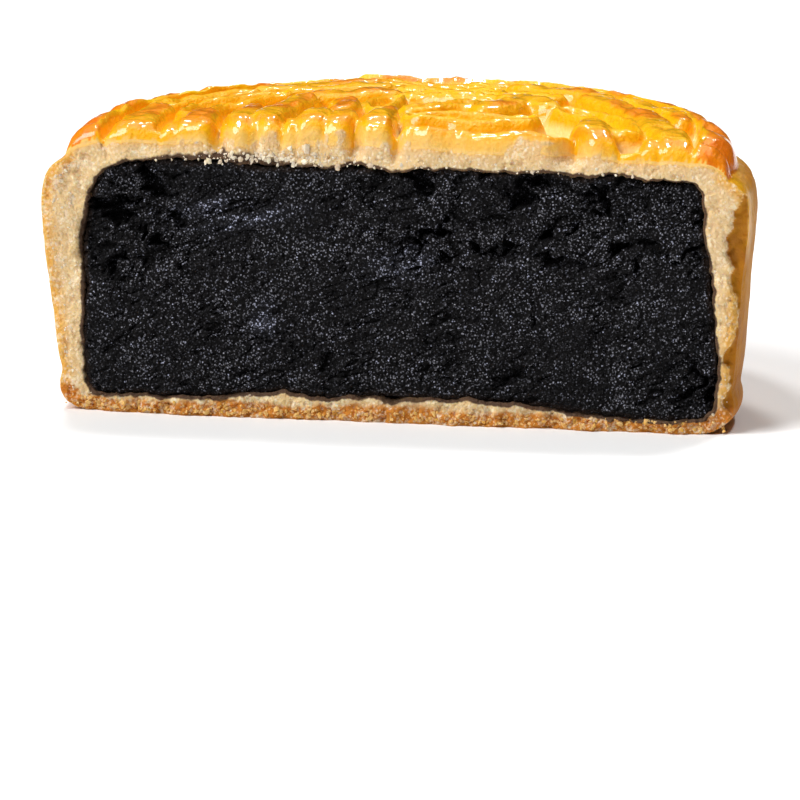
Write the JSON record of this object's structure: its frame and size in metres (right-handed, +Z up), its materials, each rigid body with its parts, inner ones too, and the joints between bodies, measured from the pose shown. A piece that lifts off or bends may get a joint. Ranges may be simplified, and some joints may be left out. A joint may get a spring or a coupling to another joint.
{
  "type": "black bean paste mooncake half",
  "caption": "Cut half of a round baked mooncake: a moulded golden crust round a block of black bean paste, standing on its flat base.",
  "frame": {"origin": "middle of the bounding box's underside, on the flat base", "axes": "+X along the cut from its left to its right, +Y away from the cut into the cake, +Z up from the base"},
  "size_m": [0.0796, 0.0445, 0.0344],
  "materials": {
    "crust": "egg-glazed golden top, matte cream crumb at the cut",
    "filling": "near-black grainy bean paste with a faint moist sheen"
  },
  "bodies": {
    "root": {"crust": "crust", "filling": "filling"}
  },
  "joints": []
}
